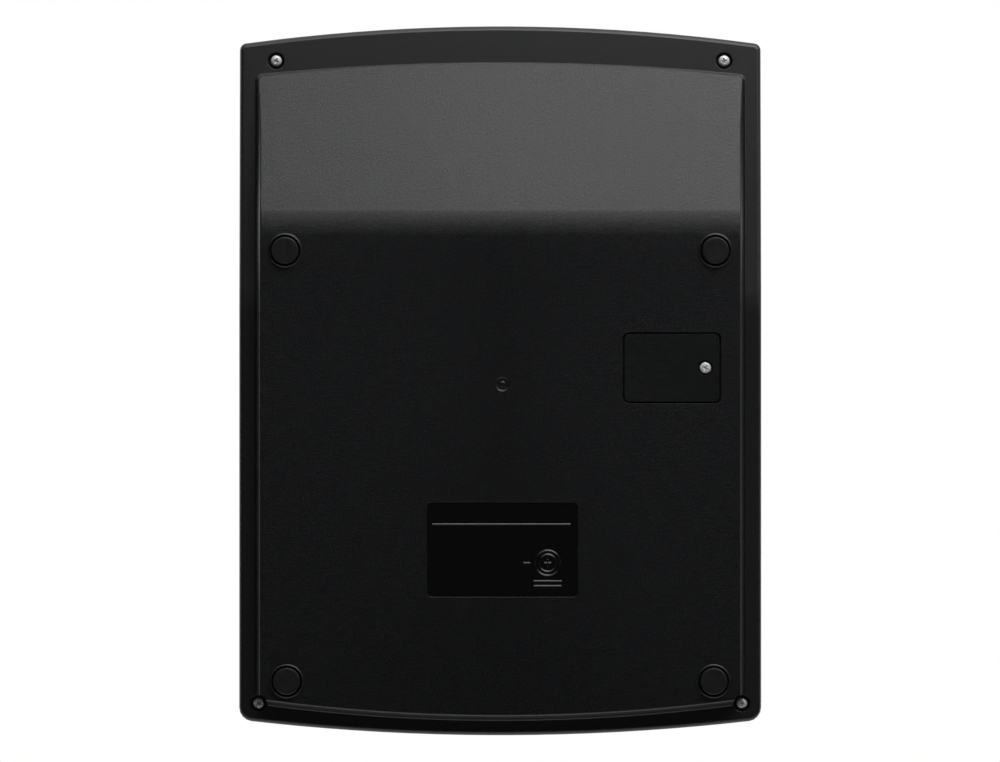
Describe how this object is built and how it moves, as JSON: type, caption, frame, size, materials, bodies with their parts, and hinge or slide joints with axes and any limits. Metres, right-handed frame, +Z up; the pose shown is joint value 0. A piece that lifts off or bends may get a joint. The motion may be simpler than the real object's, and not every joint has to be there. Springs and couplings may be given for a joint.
{
  "type": "desk calculator",
  "caption": "Black plastic desk calculator with a fixed tilted display, solar cell, travelling keys, slide switches and a screwed battery door.",
  "frame": {"origin": "on the table under the middle of the case, where the four feet stand", "axes": "+Z up, +Y towards the raised display end, +X to the right for someone who uses the keys"},
  "size_m": [0.15, 0.204, 0.0389],
  "materials": {
    "black_plastic": "spark-eroded matt black ABS",
    "clear_panel": "clear acrylic with a printed border",
    "lcd_glass": "grey-green reflective liquid crystal",
    "white_plastic": "natural ABS",
    "film": "polyester film with carbon tracks",
    "solar_glass": "dark brown amorphous silicon on glass",
    "board": "paper-phenolic board with green solder mask",
    "resin": "black epoxy drop",
    "silicone": "translucent grey silicone rubber",
    "cell_steel": "polished stainless steel",
    "contact_brass": "sprung brass",
    "screw_nickel": "nickel-plated steel",
    "foot_rubber": "matt black rubber",
    "grey_plastic": "satin grey ABS",
    "red_lead": "red PVC insulation",
    "black_lead": "black PVC insulation",
    "pale_key": "satin pale grey ABS, printed in black",
    "dark_key": "satin dark grey ABS, printed in white",
    "red_key": "satin red ABS, printed in white"
  },
  "bodies": {
    "case": {"rear_cover": "black_plastic", "front_case": "black_plastic", "display_panel": "clear_panel", "lcd_glass": "lcd_glass", "lcd_bracket": "white_plastic", "lcd_ribbon": "film", "solar_cell": "solar_glass", "circuit_board": "board", "controller_chip": "resin", "key_mat": "silicone", "button_cell": "cell_steel", "battery_spring": "contact_brass", "battery_side_contact": "contact_brass", "case_screws": "screw_nickel", "inner_screws": "screw_nickel", "foot_rear_left": "foot_rubber", "foot_rear_right": "foot_rubber", "foot_front_left": "foot_rubber", "foot_front_right": "foot_rubber", "battery_lead_plus": "red_lead", "battery_lead_minus": "black_lead", "solar_lead_plus": "red_lead", "solar_lead_minus": "black_lead"},
    "battery_door": {"battery_door": "black_plastic", "door_screw": "screw_nickel"},
    "decimal_switch": {"decimal_switch": "grey_plastic", "decimal_wiper": "contact_brass"},
    "rounding_switch": {"rounding_switch": "grey_plastic", "rounding_wiper": "contact_brass"},
    "key_ac": {"key_ac": "red_key"},
    "key_0": {"key_0": "pale_key"},
    "key_00": {"key_00": "pale_key"},
    "key_point": {"key_point": "pale_key"},
    "key_plus": {"key_plus": "dark_key"},
    "key_equals": {"key_equals": "dark_key"},
    "key_c": {"key_c": "dark_key"},
    "key_1": {"key_1": "pale_key"},
    "key_2": {"key_2": "pale_key"},
    "key_3": {"key_3": "pale_key"},
    "key_minus": {"key_minus": "dark_key"},
    "key_sign": {"key_sign": "dark_key"},
    "key_4": {"key_4": "pale_key"},
    "key_5": {"key_5": "pale_key"},
    "key_6": {"key_6": "pale_key"},
    "key_times": {"key_times": "dark_key"},
    "key_divide": {"key_divide": "dark_key"},
    "key_root": {"key_root": "dark_key"},
    "key_7": {"key_7": "pale_key"},
    "key_8": {"key_8": "pale_key"},
    "key_9": {"key_9": "pale_key"},
    "key_percent": {"key_percent": "dark_key"},
    "key_gt": {"key_gt": "dark_key"},
    "key_back": {"key_back": "dark_key"},
    "key_mc": {"key_mc": "dark_key"},
    "key_mr": {"key_mr": "dark_key"},
    "key_m_minus": {"key_m_minus": "dark_key"},
    "key_m_plus": {"key_m_plus": "dark_key"},
    "key_mu": {"key_mu": "dark_key"}
  },
  "joints": [
    {"name": "battery_door_lift", "type": "slide", "parent": "case", "child": "battery_door", "axis": [0, 0, -1], "range_m": [0, 0.012]},
    {"name": "decimal_slide", "type": "slide", "parent": "case", "child": "decimal_switch", "axis": [1, 0, 0], "range_m": [-0.0045, 0.0045]},
    {"name": "rounding_slide", "type": "slide", "parent": "case", "child": "rounding_switch", "axis": [1, 0, 0], "range_m": [-0.0045, 0.0045]},
    {"name": "key_ac_press", "type": "slide", "parent": "case", "child": "key_ac", "axis": [0, 0.061, -0.9981], "range_m": [0, 0.0013], "stiffness_N_per_m": 350, "springref_m": -0.0004, "deforming": ["key_mat"]},
    {"name": "key_0_press", "type": "slide", "parent": "case", "child": "key_0", "axis": [0, 0.061, -0.9981], "range_m": [0, 0.0013], "stiffness_N_per_m": 350, "springref_m": -0.0004, "deforming": ["key_mat"]},
    {"name": "key_00_press", "type": "slide", "parent": "case", "child": "key_00", "axis": [0, 0.061, -0.9981], "range_m": [0, 0.0013], "stiffness_N_per_m": 350, "springref_m": -0.0004, "deforming": ["key_mat"]},
    {"name": "key_point_press", "type": "slide", "parent": "case", "child": "key_point", "axis": [0, 0.061, -0.9981], "range_m": [0, 0.0013], "stiffness_N_per_m": 350, "springref_m": -0.0004, "deforming": ["key_mat"]},
    {"name": "key_plus_press", "type": "slide", "parent": "case", "child": "key_plus", "axis": [0, 0.061, -0.9981], "range_m": [0, 0.0013], "stiffness_N_per_m": 350, "springref_m": -0.0004, "deforming": ["key_mat"]},
    {"name": "key_equals_press", "type": "slide", "parent": "case", "child": "key_equals", "axis": [0, 0.061, -0.9981], "range_m": [0, 0.0013], "stiffness_N_per_m": 350, "springref_m": -0.0004, "deforming": ["key_mat"]},
    {"name": "key_c_press", "type": "slide", "parent": "case", "child": "key_c", "axis": [0, 0.061, -0.9981], "range_m": [0, 0.0013], "stiffness_N_per_m": 350, "springref_m": -0.0004, "deforming": ["key_mat"]},
    {"name": "key_1_press", "type": "slide", "parent": "case", "child": "key_1", "axis": [0, 0.061, -0.9981], "range_m": [0, 0.0013], "stiffness_N_per_m": 350, "springref_m": -0.0004, "deforming": ["key_mat"]},
    {"name": "key_2_press", "type": "slide", "parent": "case", "child": "key_2", "axis": [0, 0.061, -0.9981], "range_m": [0, 0.0013], "stiffness_N_per_m": 350, "springref_m": -0.0004, "deforming": ["key_mat"]},
    {"name": "key_3_press", "type": "slide", "parent": "case", "child": "key_3", "axis": [0, 0.061, -0.9981], "range_m": [0, 0.0013], "stiffness_N_per_m": 350, "springref_m": -0.0004, "deforming": ["key_mat"]},
    {"name": "key_minus_press", "type": "slide", "parent": "case", "child": "key_minus", "axis": [0, 0.061, -0.9981], "range_m": [0, 0.0013], "stiffness_N_per_m": 350, "springref_m": -0.0004, "deforming": ["key_mat"]},
    {"name": "key_sign_press", "type": "slide", "parent": "case", "child": "key_sign", "axis": [0, 0.061, -0.9981], "range_m": [0, 0.0013], "stiffness_N_per_m": 350, "springref_m": -0.0004, "deforming": ["key_mat"]},
    {"name": "key_4_press", "type": "slide", "parent": "case", "child": "key_4", "axis": [0, 0.061, -0.9981], "range_m": [0, 0.0013], "stiffness_N_per_m": 350, "springref_m": -0.0004, "deforming": ["key_mat"]},
    {"name": "key_5_press", "type": "slide", "parent": "case", "child": "key_5", "axis": [0, 0.061, -0.9981], "range_m": [0, 0.0013], "stiffness_N_per_m": 350, "springref_m": -0.0004, "deforming": ["key_mat"]},
    {"name": "key_6_press", "type": "slide", "parent": "case", "child": "key_6", "axis": [0, 0.061, -0.9981], "range_m": [0, 0.0013], "stiffness_N_per_m": 350, "springref_m": -0.0004, "deforming": ["key_mat"]},
    {"name": "key_times_press", "type": "slide", "parent": "case", "child": "key_times", "axis": [0, 0.061, -0.9981], "range_m": [0, 0.0013], "stiffness_N_per_m": 350, "springref_m": -0.0004, "deforming": ["key_mat"]},
    {"name": "key_divide_press", "type": "slide", "parent": "case", "child": "key_divide", "axis": [0, 0.061, -0.9981], "range_m": [0, 0.0013], "stiffness_N_per_m": 350, "springref_m": -0.0004, "deforming": ["key_mat"]},
    {"name": "key_root_press", "type": "slide", "parent": "case", "child": "key_root", "axis": [0, 0.061, -0.9981], "range_m": [0, 0.0013], "stiffness_N_per_m": 350, "springref_m": -0.0004, "deforming": ["key_mat"]},
    {"name": "key_7_press", "type": "slide", "parent": "case", "child": "key_7", "axis": [0, 0.061, -0.9981], "range_m": [0, 0.0013], "stiffness_N_per_m": 350, "springref_m": -0.0004, "deforming": ["key_mat"]},
    {"name": "key_8_press", "type": "slide", "parent": "case", "child": "key_8", "axis": [0, 0.061, -0.9981], "range_m": [0, 0.0013], "stiffness_N_per_m": 350, "springref_m": -0.0004, "deforming": ["key_mat"]},
    {"name": "key_9_press", "type": "slide", "parent": "case", "child": "key_9", "axis": [0, 0.061, -0.9981], "range_m": [0, 0.0013], "stiffness_N_per_m": 350, "springref_m": -0.0004, "deforming": ["key_mat"]},
    {"name": "key_percent_press", "type": "slide", "parent": "case", "child": "key_percent", "axis": [0, 0.061, -0.9981], "range_m": [0, 0.0013], "stiffness_N_per_m": 350, "springref_m": -0.0004, "deforming": ["key_mat"]},
    {"name": "key_gt_press", "type": "slide", "parent": "case", "child": "key_gt", "axis": [0, 0.061, -0.9981], "range_m": [0, 0.0013], "stiffness_N_per_m": 350, "springref_m": -0.0004, "deforming": ["key_mat"]},
    {"name": "key_back_press", "type": "slide", "parent": "case", "child": "key_back", "axis": [0, 0.061, -0.9981], "range_m": [0, 0.0013], "stiffness_N_per_m": 350, "springref_m": -0.0004, "deforming": ["key_mat"]},
    {"name": "key_mc_press", "type": "slide", "parent": "case", "child": "key_mc", "axis": [0, 0.061, -0.9981], "range_m": [0, 0.0013], "stiffness_N_per_m": 350, "springref_m": -0.0004, "deforming": ["key_mat"]},
    {"name": "key_mr_press", "type": "slide", "parent": "case", "child": "key_mr", "axis": [0, 0.061, -0.9981], "range_m": [0, 0.0013], "stiffness_N_per_m": 350, "springref_m": -0.0004, "deforming": ["key_mat"]},
    {"name": "key_m_minus_press", "type": "slide", "parent": "case", "child": "key_m_minus", "axis": [0, 0.061, -0.9981], "range_m": [0, 0.0013], "stiffness_N_per_m": 350, "springref_m": -0.0004, "deforming": ["key_mat"]},
    {"name": "key_m_plus_press", "type": "slide", "parent": "case", "child": "key_m_plus", "axis": [0, 0.061, -0.9981], "range_m": [0, 0.0013], "stiffness_N_per_m": 350, "springref_m": -0.0004, "deforming": ["key_mat"]},
    {"name": "key_mu_press", "type": "slide", "parent": "case", "child": "key_mu", "axis": [0, 0.061, -0.9981], "range_m": [0, 0.0013], "stiffness_N_per_m": 350, "springref_m": -0.0004, "deforming": ["key_mat"]}
  ]
}
